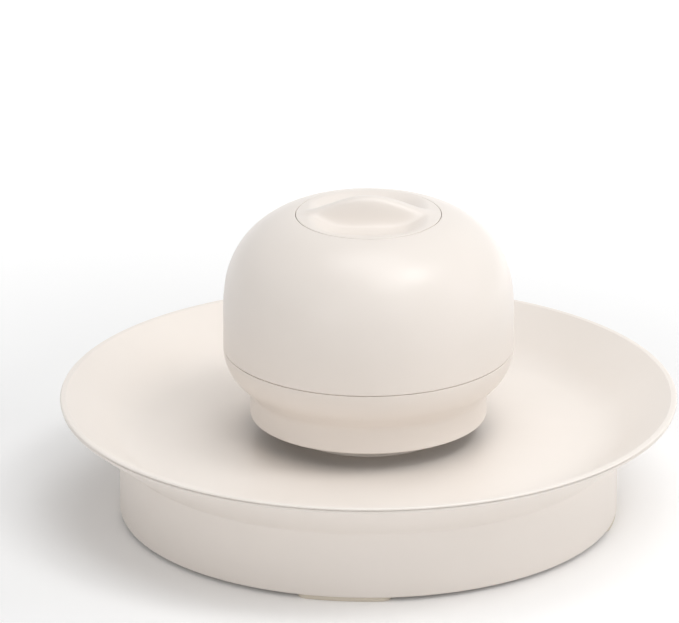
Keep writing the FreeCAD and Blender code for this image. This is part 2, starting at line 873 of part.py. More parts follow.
# Lid plug: a cup pressed up inside the cap's skirt, with a flange that holds the seal
def make_lid_plug():
    body = new_body("lid_plug")
    spin(
        body,
        "cup",
        [
            ("0", "plug_foot"),
            ("lid_skirt - plug_chamfer", "plug_foot"),
            ("lid_skirt", "plug_foot + plug_chamfer"),
            ("lid_skirt", "plug_shoulder"),
            ("plug_outer", "plug_shoulder"),
            ("plug_outer", "plug_top"),
            ("plug_bore", "plug_top"),
            ("plug_bore", "plug_inside"),
            ("0", "plug_inside"),
        ],
    )
    return body


# Lid seal: soft ring between the cap's skirt and the plug's flange, with two lips
def make_lid_seal():
    body = new_body("lid_seal")
    spin(
        body,
        "ring",
        [
            ("lid_skirt_bore", "seal_foot"),
            ("seal_valley", "seal_foot"),
            ("seal_radius", "seal_foot + seal_height / 4"),
            ("seal_valley", "seal_foot + seal_height / 2"),
            ("seal_radius", "seal_foot + seal_height * 3 / 4"),
            ("seal_valley", "seal_top"),
            ("lid_skirt_bore", "seal_top"),
        ],
    )
    return body


def make_all():
    pieces = [
        make_dish(),
        make_base_shell(),
        make_bottom_plate(),
        make_plate_screws(),
        make_flow_cone(),
        make_outlet_ring(),
        make_hopper_dome(),
        make_lid_cap(),
        make_lid_plug(),
        make_lid_seal(),
    ]
    for place, name in enumerate(FOOT_NAMES):
        pieces.append(make_foot_pad(f"foot_pad_{name}", place))
    return pieces


def check_all(pieces):
    doc.recompute()
    for item in doc.Objects:
        faults = {"Invalid", "Error"} & set(item.State)
        if faults:
            raise RuntimeError(f"{item.Name} is {faults}")
    for piece in pieces:
        shape = piece.Shape
        if shape.isNull() or not shape.isValid():
            raise RuntimeError(f"{piece.Label} has no valid shape")


def write_all(pieces):
    os.makedirs("parts", exist_ok=True)
    for piece in pieces:
        piece.Shape.exportStep(os.path.join("parts", piece.Label + ".step"))
        solids = piece.Shape.Solids
        print(f"{piece.Label}: {len(solids)} solid(s), {piece.Shape.Volume / 1000:.2f} cm3")


all_pieces = make_all()
check_all(all_pieces)
write_all(all_pieces)
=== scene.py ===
# %% [markdown]
# The frame comes first: the imported bodies and nodes, in metres, with the floor at z = 0
# and the feeder's axis at x = y = 0. Everything below is placed in it and rides on one of
# its bodies.

# %% Load the frame
import math

import bmesh
import bpy
from mathutils import Matrix, Vector


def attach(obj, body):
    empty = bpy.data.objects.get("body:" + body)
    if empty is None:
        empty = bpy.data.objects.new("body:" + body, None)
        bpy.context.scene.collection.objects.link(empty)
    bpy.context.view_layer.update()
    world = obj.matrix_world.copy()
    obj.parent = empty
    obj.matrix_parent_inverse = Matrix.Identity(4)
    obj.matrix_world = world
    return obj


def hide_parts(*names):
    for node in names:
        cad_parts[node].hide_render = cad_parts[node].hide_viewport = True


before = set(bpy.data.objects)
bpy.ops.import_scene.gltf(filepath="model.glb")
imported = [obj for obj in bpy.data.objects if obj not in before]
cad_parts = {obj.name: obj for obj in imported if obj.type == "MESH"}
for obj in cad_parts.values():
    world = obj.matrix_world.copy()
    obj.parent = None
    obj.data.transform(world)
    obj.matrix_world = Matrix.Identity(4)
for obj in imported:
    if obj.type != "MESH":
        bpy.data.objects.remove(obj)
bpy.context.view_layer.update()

# %% [markdown]
# The sizes are radii and heights of the solids, in millimetres. They could be measured off the
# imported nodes, but a table of names says what each one is. Those that two or more pieces
# depend on stand here, so that a seam or gap has the same width from both of its sides. The
# rest stand with their piece.

# %% Sizes
MM = 0.001
RIM, RIM_TOP, LIP, FLOOR = 180.0, 71.3, 3.5, 49.0
FLARE = math.radians(32.4)
FLARE_FOOT = RIM - LIP - (RIM_TOP - FLOOR) / math.tan(FLARE)
BASE, BASE_FOOT = FLARE_FOOT + 4.14, 2.3
FUNNEL, SEAM = 84.6, 102.3
LEDGE = 179.04
print("radii in mm: the dish's wall from", round(FLARE_FOOT, 2), "and the base", round(BASE, 2))

# %% [markdown]
# Every shell of the feeder is round, so one outline turned about the upright axis gives each
# of them. An outline could be traced point by point, but a list of corners with a rounding
# each says more, and it keeps every edge soft, as a mould leaves it. An edge with no rounding
# would catch no light and look cut from card. A point 0.3 mm beside each rounding keeps the
# long faces flat under smooth shading.

# %% Outlines with rounded corners
BESIDE = 0.3


def arc(centre, radius, start, end, steps):
    """Corners along an arc, with no rounding of their own. Angles are in degrees."""
    corners = []
    for step in range(steps + 1):
        angle = math.radians(start + (end - start) * step / steps)
        across, up = radius * math.cos(angle), radius * math.sin(angle)
        corners.append((centre[0] + across, centre[1] + up, 0))
    return corners


def rounded(corners, steps=6):
    """Points of a closed outline of corners (radius, height, rounding)."""
    outline = []
    for index, (across, up, rounding) in enumerate(corners):
        here = Vector((across, up))
        if not rounding:
            outline.append(here)
            continue
        back = Vector(corners[index - 1][:2]) - here
        ahead = Vector(corners[(index + 1) % len(corners)][:2]) - here
        half = back.angle(ahead) / 2
        reach = rounding / math.tan(half)
        inward = (back.normalized() + ahead.normalized()).normalized()
        middle = here + inward * rounding / math.sin(half)
        first = here + back.normalized() * reach - middle
        last = here + ahead.normalized() * reach - middle
        start = math.atan2(first.y, first.x)
        turn = (math.atan2(last.y, last.x) - start + math.pi) % math.tau - math.pi
        if back.length > reach + 3 * BESIDE:
            outline.append(here + back.normalized() * (reach + BESIDE))
        for step in range(steps + 1):
            angle = start + turn * step / steps
            outline.append(middle + Vector((math.cos(angle), math.sin(angle))) * rounding)
        if ahead.length > reach + 3 * BESIDE:
            outline.append(here + ahead.normalized() * (reach + BESIDE))
    return outline


square = [(0, 0, 1), (10, 0, 1), (10, 10, 1), (0, 10, 1)]
print("a square with four roundings has", len(rounded(square)), "points")

# %% [markdown]
# Spinning an outline sweeps it round the axis. One spin of the full circle would do, but each
# of its steps walks over the whole mesh, so an eighth is spun and then repeated seven times,
# which is much quicker. 240 steps keep the rim's edge round in a close view. Points that fall
# together are merged, which closes the seam and the poles.

# %% Turning an outline
AROUND, WEDGES = 240, 8
SAME_POINT = 1e-6
UPRIGHT = {"cent": (0, 0, 0), "axis": (0, 0, 1)}


def add_shape(shape, other):
    """Add another bmesh to a shape."""
    mesh = bpy.data.meshes.new("added")
    other.to_mesh(mesh)
    other.free()
    shape.from_mesh(mesh)
    bpy.data.meshes.remove(mesh)


def turn_outline(shape, outline, sweep=360, start=0, around=AROUND):
    """Turn an outline about the upright axis. A part turn gets a cap at each end."""
    aim = Matrix.Rotation(math.radians(start), 3, "Z")
    wedge = bmesh.new()
    ring = [wedge.verts.new(aim @ Vector((p.x * MM, 0, p.y * MM))) for p in outline]
    if sweep < 360:
        cap = wedge.faces.new(ring)
        turn = math.radians(sweep)
        steps = max(4, round(around * sweep / 360))
        bmesh.ops.spin(wedge, geom=[*ring, *cap.edges, cap], angle=turn, steps=steps, **UPRIGHT)
    else:
        sides = [
            wedge.edges.new((ring[i - 1], ring[i]))
            for i in range(len(ring))
            if outline[i - 1].x > SAME_POINT or outline[i].x > SAME_POINT
        ]
        turn = math.tau / WEDGES
        bmesh.ops.spin(wedge, geom=ring + sides, angle=turn, steps=around // WEDGES, **UPRIGHT)
        everything = [*wedge.verts, *wedge.edges, *wedge.faces]
        rest = {"angle": math.tau - turn, "steps": WEDGES - 1, "use_duplicate": True}
        bmesh.ops.spin(wedge, geom=everything, **rest, **UPRIGHT)
    bmesh.ops.remove_doubles(wedge, verts=wedge.verts, dist=SAME_POINT)
    add_shape(shape, wedge)


trial = bmesh.new()
turn_outline(trial, rounded(square))
print("turned about the axis it has", len(trial.faces), "faces")
trial.free()

# %% [markdown]
# A moulding is one piece with its posts, lugs and ribs, so the smaller shapes are joined to the
# shell with a Boolean union, and slots are cut with a difference. Faces that only push through
# each other would look the same, but they would leave walls inside the plastic. Spinning can
# turn a shape inside out, so its normals are made to point outward before it is used.

# %% Joining and cutting
DOUBLE = 1e-7


def as_mesh(shape):
    """The bmesh as a smooth mesh, its doubles merged and its faces outward."""
    bmesh.ops.remove_doubles(shape, verts=shape.verts, dist=DOUBLE)
    bmesh.ops.recalc_face_normals(shape, faces=shape.faces)
    for face in shape.faces:
        face.smooth = True
    mesh = bpy.data.meshes.new("part")
    shape.to_mesh(mesh)
    shape.free()
    return mesh


def carve(piece, tool, operation):
    """Join a second shape to a piece with UNION, or cut it away with DIFFERENCE."""
    helper = bpy.data.objects.new("helper", as_mesh(tool))
    bpy.context.scene.collection.objects.link(helper)
    step = piece.modifiers.new("carve", "BOOLEAN")
    step.object = helper
    step.operation = operation
    step.solver = "EXACT"
    view = bpy.context.evaluated_depsgraph_get()
    made = bpy.data.meshes.new_from_object(piece.evaluated_get(view), depsgraph=view)
    piece.modifiers.clear()
    piece.data = made
    bpy.data.objects.remove(helper)


# %% [markdown]
# Each finished piece rides on its body, so it moves with the joints, and stands for the solid
# that it replaces. Edges that turn by more than 42 degrees stay sharp under smooth shading:
# with all of them smooth, a square edge would look melted. A closed mesh has no open edges,
# and the print counts them for each piece.

# %% Finishing a piece
SHARP = math.radians(42)


def make_piece(shape, name, body, nodes, joined=(), cut=()):
    """Make a piece of a body from a shape, and shapes joined to it or cut out of it."""
    piece = bpy.data.objects.new(name, as_mesh(shape))
    bpy.context.scene.collection.objects.link(piece)
    for tool in joined:
        carve(piece, tool, "UNION")
    for tool in cut:
        carve(piece, tool, "DIFFERENCE")
    piece.data.name = name
    piece.data.set_sharp_from_angle(angle=SHARP)
    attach(piece, body)
    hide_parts(*nodes)
    check = bmesh.new()
    check.from_mesh(piece.data)
    open_edges = sum(1 for edge in check.edges if not edge.is_manifold)
    check.free()
    print(name, len(piece.data.polygons), "faces,", open_edges, "open edges")
    return piece


# %% [markdown]
# The dish is one moulding: a flat floor, a soft blend and a straight flared wall that ends in
# a thin rounded lip. Three lugs inside its socket hold the cone, and four posts under it take
# the screws of the bottom plate. A bowl could be shaped from a squashed sphere, but only an
# outline gives the flat floor, the straight wall and the even thickness. The blend has ten
# steps, because its long soft shadow shows any facet.

# %% Dish shell
DISH_WALL, BLEND = 3.0, 42
UNDER = FLOOR - DISH_WALL
UNDER_FOOT = FLARE_FOOT + DISH_WALL * math.tan(FLARE / 2)
UNDER_RIM = UNDER + (RIM - UNDER_FOOT) * math.tan(FLARE)
SOCKET, SOCKET_FLOOR = 24.0, 36.0

dish_shape = bmesh.new()
turn_outline(dish_shape, rounded([
    (0, SOCKET_FLOOR - DISH_WALL, 0),
    (SOCKET + DISH_WALL, SOCKET_FLOOR - DISH_WALL, 1.2),
    (SOCKET + DISH_WALL, UNDER, 1.5),
    (UNDER_FOOT, UNDER, BLEND + DISH_WALL),
    (RIM, UNDER_RIM, 0.08),
    (RIM, RIM_TOP, 1.2),
    (RIM - LIP, RIM_TOP, 0.7),
    (FLARE_FOOT, FLOOR, BLEND),
    (SOCKET, FLOOR, 0.8),
    (SOCKET, SOCKET_FLOOR, 0.6),
    (0, SOCKET_FLOOR, 0),
], steps=10))
print("the dish's wall rises", round(RIM_TOP - FLOOR, 1), "mm and is", DISH_WALL, "mm thick")

# %% [markdown]
# The lugs are short pieces of a ring, so they are turned through 29.8 degrees only. The posts
# are turned about the axis, moved out and then rotated into place, four times. A post could be
# a cylinder, but an outline gives its screw hole and its rounded foot at once. The posts end
# inside the dish's wall, so that the union leaves no gap.

# %% Lugs and screw posts
LUG_IN, LUG_OUT, LUG_LOW, LUG_TOP = SOCKET - 2.5, SOCKET + 0.5, 44, 47
LUG_SWEEP = 29.8
POST_CIRCLE, POST, POST_FOOT = 115, 5, 4.5
HOLE, HOLE_TOP = 1.55, 18.5
POST_TOP = FLOOR - DISH_WALL / 2

lugs = bmesh.new()
for middle in (0, 120, 240):
    turn_outline(lugs, rounded([
        (LUG_IN, LUG_LOW, 0.4), (LUG_OUT, LUG_LOW, 0),
        (LUG_OUT, LUG_TOP, 0), (LUG_IN, LUG_TOP, 0.4),
    ], steps=3), sweep=LUG_SWEEP, start=middle - LUG_SWEEP / 2)

posts = bmesh.new()
for quarter in range(4):
    post = bmesh.new()
    turn_outline(post, rounded([
        (0, HOLE_TOP, 0), (HOLE, HOLE_TOP, 0), (HOLE, POST_FOOT, 0.2), (POST, POST_FOOT, 0.3),
        (POST, POST_TOP, 0), (0, POST_TOP, 0),
    ], steps=3), around=32)
    bmesh.ops.translate(post, verts=post.verts, vec=(POST_CIRCLE * MM, 0, 0))
    aim = Matrix.Rotation(quarter * math.pi / 2, 3, "Z")
    bmesh.ops.rotate(post, verts=post.verts, matrix=aim)
    add_shape(posts, post)
dish = make_piece(dish_shape, "dish_shell", "tray", ["dish"], joined=[lugs, posts])

# %% [markdown]
# The base is a second moulding: an upright wall whose top flares out under the dish and meets
# its lip in a thin parting line. The wall turns into the flare over a radius of 2.2 mm, which
# shows as a soft crease, not a fold. A flange inside its foot carries the bottom plate. Four
# grooves, a quarter turn apart, take the tongues of the pads, and they are cut, because a
# groove that ends needs walls at both ends, which one turned outline can't give.

# %% Base shell
FEET = [-95.6 + 90 * quarter for quarter in range(4)]
BASE_WALL, FOOT_RING, FLANGE = 3, BASE - 13.5, BASE - 18.5
FLANGE_LOW, FLANGE_TOP = 4.5, 6.3
WALL_TOP, COLLAR_EDGE, COLLAR_LOW = 41.6, 179.4, 67.9
GROOVE_IN, GROOVE_OUT, GROOVE_LOW, GROOVE_TOP = 136.95, 141.25, 1.3, 4.05
GROOVE_SWEEP = 18.4

shape = bmesh.new()
turn_outline(shape, rounded([
    (FLANGE, FLANGE_LOW, 0.3),
    (FOOT_RING, FLANGE_LOW, 0.2),
    (FOOT_RING, BASE_FOOT, 0.4),
    (BASE, BASE_FOOT, 0.8),
    (BASE, WALL_TOP, 2.2),
    (COLLAR_EDGE, COLLAR_LOW, 0.5),
    (COLLAR_EDGE, 69.41, 0.08),
    (167.68, 61.97, 0),
    (BASE - BASE_WALL, 42.44, 1.5),
    (BASE - BASE_WALL, FLANGE_TOP, 1.0),
    (FLANGE, FLANGE_TOP, 0.3),
]))
grooves = bmesh.new()
for foot in FEET:
    turn_outline(grooves, rounded([
        (GROOVE_IN, GROOVE_LOW, 0), (GROOVE_OUT, GROOVE_LOW, 0),
        (GROOVE_OUT, GROOVE_TOP, 0), (GROOVE_IN, GROOVE_TOP, 0),
    ]), sweep=GROOVE_SWEEP, start=foot - GROOVE_SWEEP / 2)
base = make_piece(shape, "base_wall", "tray", ["base_shell"], cut=[grooves])

# %% [markdown]
# Four soft pads stand under the wall, each a curved strip of 22 degrees with round ends, and a
# tongue that is pressed into its groove. Turning an outline would give them square ends, so
# the strip is drawn as seen from above, extruded upward and bevelled along its upper and
# lower edges. A point on each degree makes its sides as round as the wall over them.

# %% Foot pads
PAD_IN, PAD_OUT, PAD_HALF, PAD_END = 133.1, 145.1, 11, 5.4
TONGUE_IN, TONGUE_OUT, TONGUE_LOW, TONGUE_TOP, TONGUE_SWEEP = 137.1, 141.1, 1.8, 3.9, 18
END_POINTS = 3


def on_circle(radius, angle, rounding=0):
    turn = math.radians(angle)
    return radius * math.cos(turn), radius * math.sin(turn), rounding


for name, foot in zip(("front", "right", "rear", "left"), FEET):
    first, last = foot - PAD_HALF, foot + PAD_HALF
    degrees = range(END_POINTS, 2 * PAD_HALF - END_POINTS + 1)
    plan = rounded([
        on_circle(PAD_OUT, first, PAD_END),
        *(on_circle(PAD_OUT, first + step) for step in degrees),
        on_circle(PAD_OUT, last, PAD_END),
        on_circle(PAD_IN, last, PAD_END),
        *(on_circle(PAD_IN, last - step) for step in degrees),
        on_circle(PAD_IN, first, PAD_END),
    ], steps=8)
    strip = bmesh.new()
    sole = strip.faces.new([strip.verts.new((p.x * MM, p.y * MM, 0)) for p in plan])
    raised = bmesh.ops.extrude_face_region(strip, geom=[sole])["geom"]
    top = [item for item in raised if isinstance(item, bmesh.types.BMVert)]
    bmesh.ops.translate(strip, verts=top, vec=(0, 0, BASE_FOOT * MM))
    if not sole.is_valid:
        strip.faces.new([vert for vert in strip.verts if vert.co.z < SAME_POINT])
    level = [
        edge for edge in strip.edges
        if abs(edge.verts[0].co.z - edge.verts[1].co.z) < SAME_POINT
    ]
    bmesh.ops.bevel(
        strip, geom=level, offset=0.35 * MM, affect="EDGES", segments=3, profile=0.5, material=-1
    )
    tongue = bmesh.new()
    turn_outline(tongue, rounded([
        (TONGUE_IN, TONGUE_LOW, 0), (TONGUE_OUT, TONGUE_LOW, 0),
        (TONGUE_OUT, TONGUE_TOP, 0.3), (TONGUE_IN, TONGUE_TOP, 0.3),
    ], steps=3), sweep=TONGUE_SWEEP, start=foot - TONGUE_SWEEP / 2)
    make_piece(strip, "pad_" + name, "tray", ["foot_pad_" + name], joined=[tongue])

# %% [markdown]
# The outlet ring carries the dome. From below it is a short upright skirt, a hollow curve, a
# funnel that opens upward and a shoulder that ends at the seam. The curve could be a sharp
# corner, but a radius of 8 mm gives the soft change of light under the funnel. A step of
# half a millimetre at the shoulder's edge makes the dark line of the seam: two edges that
# only touch would show no line at all. Inside, a spigot stands up into the dome.

# %% Shell of the outlet ring
SKIRT, SKIRT_FOOT, WALL = 69.0, 60.4, 2.6
HOLLOW, HOLLOW_MIDDLE = 8.0, (77.0, 72.804)
ROUND, ROUND_MIDDLE = 26.7, (57.9, SEAM)
SEAM_GAP, SEAM_DEPTH = 0.5, 1.1
SPIGOT, SPIGOT_BORE, SPIGOT_TOP = FUNNEL - 3.1, FUNNEL - 6.1, 111.8

ring_shape = bmesh.new()
turn_outline(ring_shape, rounded([
    (SKIRT - WALL, SKIRT_FOOT, 0.9),
    (SKIRT, SKIRT_FOOT, 0.6),
    *arc(HOLLOW_MIDDLE, HOLLOW, 180, 132, 10),
    *arc(ROUND_MIDDLE, ROUND, -48, -3, 12),
    (FUNNEL, SEAM - SEAM_GAP, 0.25),
    (FUNNEL - SEAM_DEPTH, SEAM - SEAM_GAP, 0.1),
    (FUNNEL - SEAM_DEPTH, SEAM, 0.1),
    (SPIGOT, SEAM, 0.3),
    (SPIGOT, SPIGOT_TOP, 0.6),
    (SPIGOT_BORE, SPIGOT_TOP, 0.6),
    (SPIGOT_BORE, 89.98, 0),
    *arc(ROUND_MIDDLE, ROUND - WALL, -32, -48, 3),
    *arc(HOLLOW_MIDDLE, HOLLOW + WALL, 132, 180, 8),
]))
print("the ring opens from", SKIRT, "to", FUNNEL, "mm over", round(SEAM - SKIRT_FOOT, 1), "mm")

# %% [markdown]
# A hub on four arms inside the ring sits on the cone's spindle. The hub is turned. An arm could
# be turned or extruded too, but a cube scaled to 68 by 3 by 12 mm and bevelled along its four
# long edges is the shortest way, and its ends are buried in the hub and the wall.

# %% Hub and arms
HUB_BORE, HUB, HUB_LOW, HUB_TOP = 9.3, 12.8, 84, 102
ARM_FROM, ARM_TO, ARM_WIDE, ARM_TALL, ARM_UP = 11.05, 79, 3, 12, 96

hub = bmesh.new()
turn_outline(hub, rounded([
    (HUB_BORE, HUB_LOW, 0.4), (HUB, HUB_LOW, 0.4), (HUB, HUB_TOP, 0.8), (HUB_BORE, HUB_TOP, 0.8),
], steps=4), around=96)

arms = bmesh.new()
for quarter in range(4):
    arm = bmesh.new()
    bmesh.ops.create_cube(arm, size=MM)
    bmesh.ops.scale(arm, verts=arm.verts, vec=(ARM_TO - ARM_FROM, ARM_WIDE, ARM_TALL))
    middle = Vector(((ARM_FROM + ARM_TO) / 2, 0, ARM_UP)) * MM
    bmesh.ops.translate(arm, verts=arm.verts, vec=middle)
    long_edges = [
        edge for edge in arm.edges
        if abs(edge.verts[0].co.x - edge.verts[1].co.x) > ARM_TALL * MM
    ]
    bmesh.ops.bevel(
        arm, geom=long_edges, offset=0.6 * MM, affect="EDGES", segments=3, profile=0.5, material=-1
    )
    aim = Matrix.Rotation(quarter * math.pi / 2, 3, "Z")
    bmesh.ops.rotate(arm, verts=arm.verts, matrix=aim)
    add_shape(arms, arm)
print("hub:", len(hub.faces), "faces, arms:", len(arms.faces), "faces")

# %% [markdown]
# Each key of the dome drops into an entry that is open at the top, and a turn takes it along
# into a rest beside it. The slots don't go all round, so the outline can't have them. They are
# short turned shapes that are cut out of the spigot, the rests first and then the entries,
# because the two overlap.

# %% Key slots and the finished ring
SLOT_OUT, SLOT_LOW = 82.5, 104.2
REST_IN, REST_TOP, REST_SWEEP, REST_FROM = 79.9, 107.4, 19, -8
ENTRY_IN, ENTRY_TOP, ENTRY_SWEEP, ENTRY_FROM = 79.8, 112.8, 16, 10

rests, entries = bmesh.new(), bmesh.new()
for key in (0, 90, 180, 270):
    turn_outline(rests, rounded([
        (REST_IN, SLOT_LOW, 0), (SLOT_OUT, SLOT_LOW, 0),
        (SLOT_OUT, REST_TOP, 0), (REST_IN, REST_TOP, 0),
    ]), sweep=REST_SWEEP, start=key + REST_FROM)
    turn_outline(entries, rounded([
        (ENTRY_IN, SLOT_LOW, 0), (SLOT_OUT, SLOT_LOW, 0),
        (SLOT_OUT, ENTRY_TOP, 0), (ENTRY_IN, ENTRY_TOP, 0),
    ]), sweep=ENTRY_SWEEP, start=key + ENTRY_FROM)
ring = make_piece(
    ring_shape, "ring_shell", "ring", ["outlet_ring"], joined=[arms, hub], cut=[rests, entries]
)

# %% [markdown]
# The dome is the hopper's upper shell: an upright wall, a long side arc and a shoulder arc that
# runs up to the mouth. A scaled sphere would be quicker, but it is rounder at the side than
# the real shell. The two arcs meet at 8.1 degrees above level, where both point the same way,
# so the highlight runs over them without a kink. The mouth has a ledge for the lid and a
# throat below it. Four keys inside its foot turn into the slots of the ring.

# %% Dome
SHELL = 2.8
SIDE, SIDE_MIDDLE = 120, (-35.4, 123.5)
SHOULDER, SHOULDER_MIDDLE = 50, (33.90, 133.36)
MEET = 8.1
MOUTH, MOUTH_LIP = 42.4, 182.6356
THROAT, THROAT_LOW = 38, 170.14
COLLAR_IN, COLLAR, COLLAR_UNDER = 40.5, 44.9, 176.54
MOUTH_TURN = math.degrees(math.acos((MOUTH - SHOULDER_MIDDLE[0]) / SHOULDER))
COLLAR_TURN = math.degrees(math.acos((COLLAR - SHOULDER_MIDDLE[0]) / (SHOULDER - SHELL)))

shape = bmesh.new()
turn_outline(shape, rounded([
    (FUNNEL - SHELL, SEAM, 0.3),
    (FUNNEL, SEAM, 0.15),
    *arc(SIDE_MIDDLE, SIDE, 0, MEET, 6),
    *arc(SHOULDER_MIDDLE, SHOULDER, MEET, MOUTH_TURN - 1, 36)[1:],
    (MOUTH, MOUTH_LIP, 0.35),
    (MOUTH, LEDGE, 0.3),
    (THROAT, LEDGE, 0.4),
    (THROAT, THROAT_LOW, 0.6),
    (COLLAR_IN, THROAT_LOW, 0.6),
    (COLLAR_IN, COLLAR_UNDER, 0.5),
    (COLLAR, COLLAR_UNDER, 0.5),
    *arc(SHOULDER_MIDDLE, SHOULDER - SHELL, COLLAR_TURN, MEET, 28),
    *arc(SIDE_MIDDLE, SIDE - SHELL, MEET, 0, 6)[1:],
]))

KEY_IN, KEY_OUT, KEY_LOW, KEY_TOP, KEY_SWEEP = 80.2, 82.3, 104.5, 107.1, 14
keys = bmesh.new()
for key in (0, 90, 180, 270):
    turn_outline(keys, rounded([
        (KEY_IN, KEY_LOW, 0.3), (KEY_OUT, KEY_LOW, 0),
        (KEY_OUT, KEY_TOP, 0), (KEY_IN, KEY_TOP, 0.3),
    ], steps=3), sweep=KEY_SWEEP, start=key - KEY_SWEEP / 2)
dome = make_piece(shape, "dome_shell", "dome", ["hopper_dome"], joined=[keys])

# %% [markdown]
# The lid carries on the dome's crown. Its skin rises into a ridge to pinch and sinks into a
# hollow for a finger on each side. It could be sculpted, or cut with two balls and blended,
# but the skin of the real lid has no edge anywhere. So one smooth relief says how far the
# skin stands above or below the plain crown. The ridge is highest in the middle and runs out
# at both ends, and each hollow is deepest at the ridge's foot and fades towards the edge.

# %% Relief of the lid
LID, CROWN, CROWN_MIDDLE = 42.1, 280.0, -94.13
RIDGE_UP, HOLLOW_DOWN = 7.8, 7.5
RIDGE_FOOT, FOOT_TO_EDGE, HOLLOW_END, FADE = 0.34, 0.66, 0.84, 1.4


def ease(share):
    """Falls smoothly from 1 at 0 to 0 at 1."""
    return 0.5 * (1 + math.cos(math.pi * min(abs(share), 1)))


def relief(across, along):
    """How far the lid's skin stands above its plain crown, in millimetres."""
    reach = across / LID
    if math.hypot(across, along) >= LID:
        return 0
    depth = abs(along) / (LID * math.sqrt(1 - reach**2))
    ridge = RIDGE_UP * ease(reach)
    hollow = HOLLOW_DOWN * max(0, 1 - (reach / HOLLOW_END) ** 4) ** 2
    if depth < RIDGE_FOOT:
        return (ridge + hollow) * ease(1 - ease(depth / RIDGE_FOOT)) - hollow
    return -hollow * ease(((depth - RIDGE_FOOT) / FOOT_TO_EDGE) ** FADE)


ridge_foot = relief(0, RIDGE_FOOT * LID)
print("ridge", round(relief(0, 0), 1), "mm, hollow", round(ridge_foot, 1), "mm")

# %% [markdown]
# The cap is turned as a plain crown with a skirt and a flange, in sixty rings from the middle
# to the edge, because the ridge's crest needs close points to stay crisp. Then the skin and
# its underside are moved by the relief together, so the wall keeps its thickness. A subdivided
# coarse cap would be smoother, but it would round the crest off.

# %% Lid cap
SKIN, INSIDE, CAP_SKIRT, CAP_FOOT = 2.5, 35.0, 37.2, 174.44
FLANGE_UNDER = LEDGE + 0.05
SKIN_RINGS, INSIDE_RINGS = 60, 36
EDGE_BAND = 0.5


def crown(radius):
    """Height of the plain crown at a radius."""
    return CROWN_MIDDLE + math.sqrt(CROWN**2 - radius**2)


shape = bmesh.new()
outside = [LID * step / SKIN_RINGS for step in range(SKIN_RINGS)]
inside = [INSIDE * step / INSIDE_RINGS for step in range(INSIDE_RINGS, -1, -1)]
turn_outline(shape, rounded([
    *((radius, crown(radius), 0) for radius in outside),
    (LID, crown(LID), 0.35),
    (LID, FLANGE_UNDER, 0.3),
    (CAP_SKIRT, FLANGE_UNDER, 0.3),
    (CAP_SKIRT, CAP_FOOT, 0.4),
    (INSIDE, CAP_FOOT, 0.4),
    *((radius, crown(radius) - SKIN, 0) for radius in inside),
], steps=4))
for vert in shape.verts:
    across, along, up = vert.co / MM
    radius = math.hypot(across, along)
    if up > crown(radius) - SKIN - 0.1 and radius < LID - EDGE_BAND:
        vert.co.z += relief(across, along) * MM
lid = make_piece(shape, "lid_top", "lid", ["lid_cap"])

# %% [markdown]
# Under the lid a cup is pressed up into the cap, and a soft ring with two thin lips sits
# between them and wipes the throat of the mouth. The ring could be a torus, but its two lips
# show from the side when the lid is off. Both are turned, and as they show only then, their
# outlines follow the solids with no more detail. Each row is (radius, height, rounding).

# %% Cup and seal of the lid
shape = bmesh.new()
turn_outline(shape, rounded([
    (0, 168.49, 0), (37.2, 168.49, 1.0), (37.2, 170.89, 0.4), (34.85, 170.89, 0.2),
    (34.85, 176.44, 0.5), (32.65, 176.44, 0.5), (32.65, 170.49, 0.8), (0, 170.49, 0),
]))
cup = make_piece(shape, "lid_cup", "lid", ["lid_plug"])

shape = bmesh.new()
turn_outline(shape, rounded([
    (35.0, 171.04, 0), (36.8, 171.04, 0), (37.7, 171.89, 0.3), (36.8, 172.74, 0.2),
    (37.7, 173.59, 0.3), (36.8, 174.29, 0), (35.0, 174.29, 0),
], steps=4))
seal = make_piece(shape, "seal_ring", "lid", ["lid_seal"])

# %% [markdown]
# The cone stands in the dish's socket and spreads what runs down onto it. A solid cone with a
# rod on top would look the same from above, but such pieces are thin hollow mouldings, so
# its outline runs round the inside too. Three catches at its foot turn under the lugs.

# %% Cone
shape = bmesh.new()
turn_outline(shape, rounded([
    (18.7, 37, 0.4), (21.2, 37, 0.4), (21.2, 70.6, 0.5), (43.8, 50.8, 0), (43.8, 49.3, 0.3),
    (46, 49.3, 0.5), (46, 51.8, 1.0), (13, 84, 0.6), (9, 84, 0.5), (9, 104, 1.2), (0, 104, 0),
    (0, 101.5, 0), (6.5, 101.5, 0.5), (6.5, 78.6, 0.8), (18.7, 73.0, 0.8),
]))

CATCH_IN, CATCH_OUT, CATCH_LOW, CATCH_TOP, CATCH_SWEEP = 20.7, 23.7, 37, 43.7, 28
catches = bmesh.new()
for middle in (0, 120, 240):
    turn_outline(catches, rounded([
        (CATCH_IN, CATCH_LOW, 0), (CATCH_OUT, CATCH_LOW, 0.3),
        (CATCH_OUT, CATCH_TOP, 0.3), (CATCH_IN, CATCH_TOP, 0),
    ], steps=3), sweep=CATCH_SWEEP, start=middle - CATCH_SWEEP / 2)
cone = make_piece(shape, "cone_spreader", "cone", ["flow_cone"], joined=[catches])

# %% [markdown]
# The shells are injection-moulded ABS, coloured through in a warm white. The mould has a fine
# spark-eroded surface, so the plastic is satin: a lamp shows as a soft bright patch, not as a
# mirror image. The dish's colour is painted a shade lighter than the shell, as painted light for
# its brighter floor and walls, and the base's mould is a shade duller.
# The pads are moulded thermoplastic rubber and the seal is pressed silicone, both softer in
# gloss, and the screws are zinc-plated steel. One flat colour would look like a drawing, so
# each material has small changes of colour, gloss and surface, made by nodes. Colours are
# written as sRGB hex values, as a paint program shows them, and turned to linear ones here.

# %% Colour values and nodes
KNEE = 0.04045


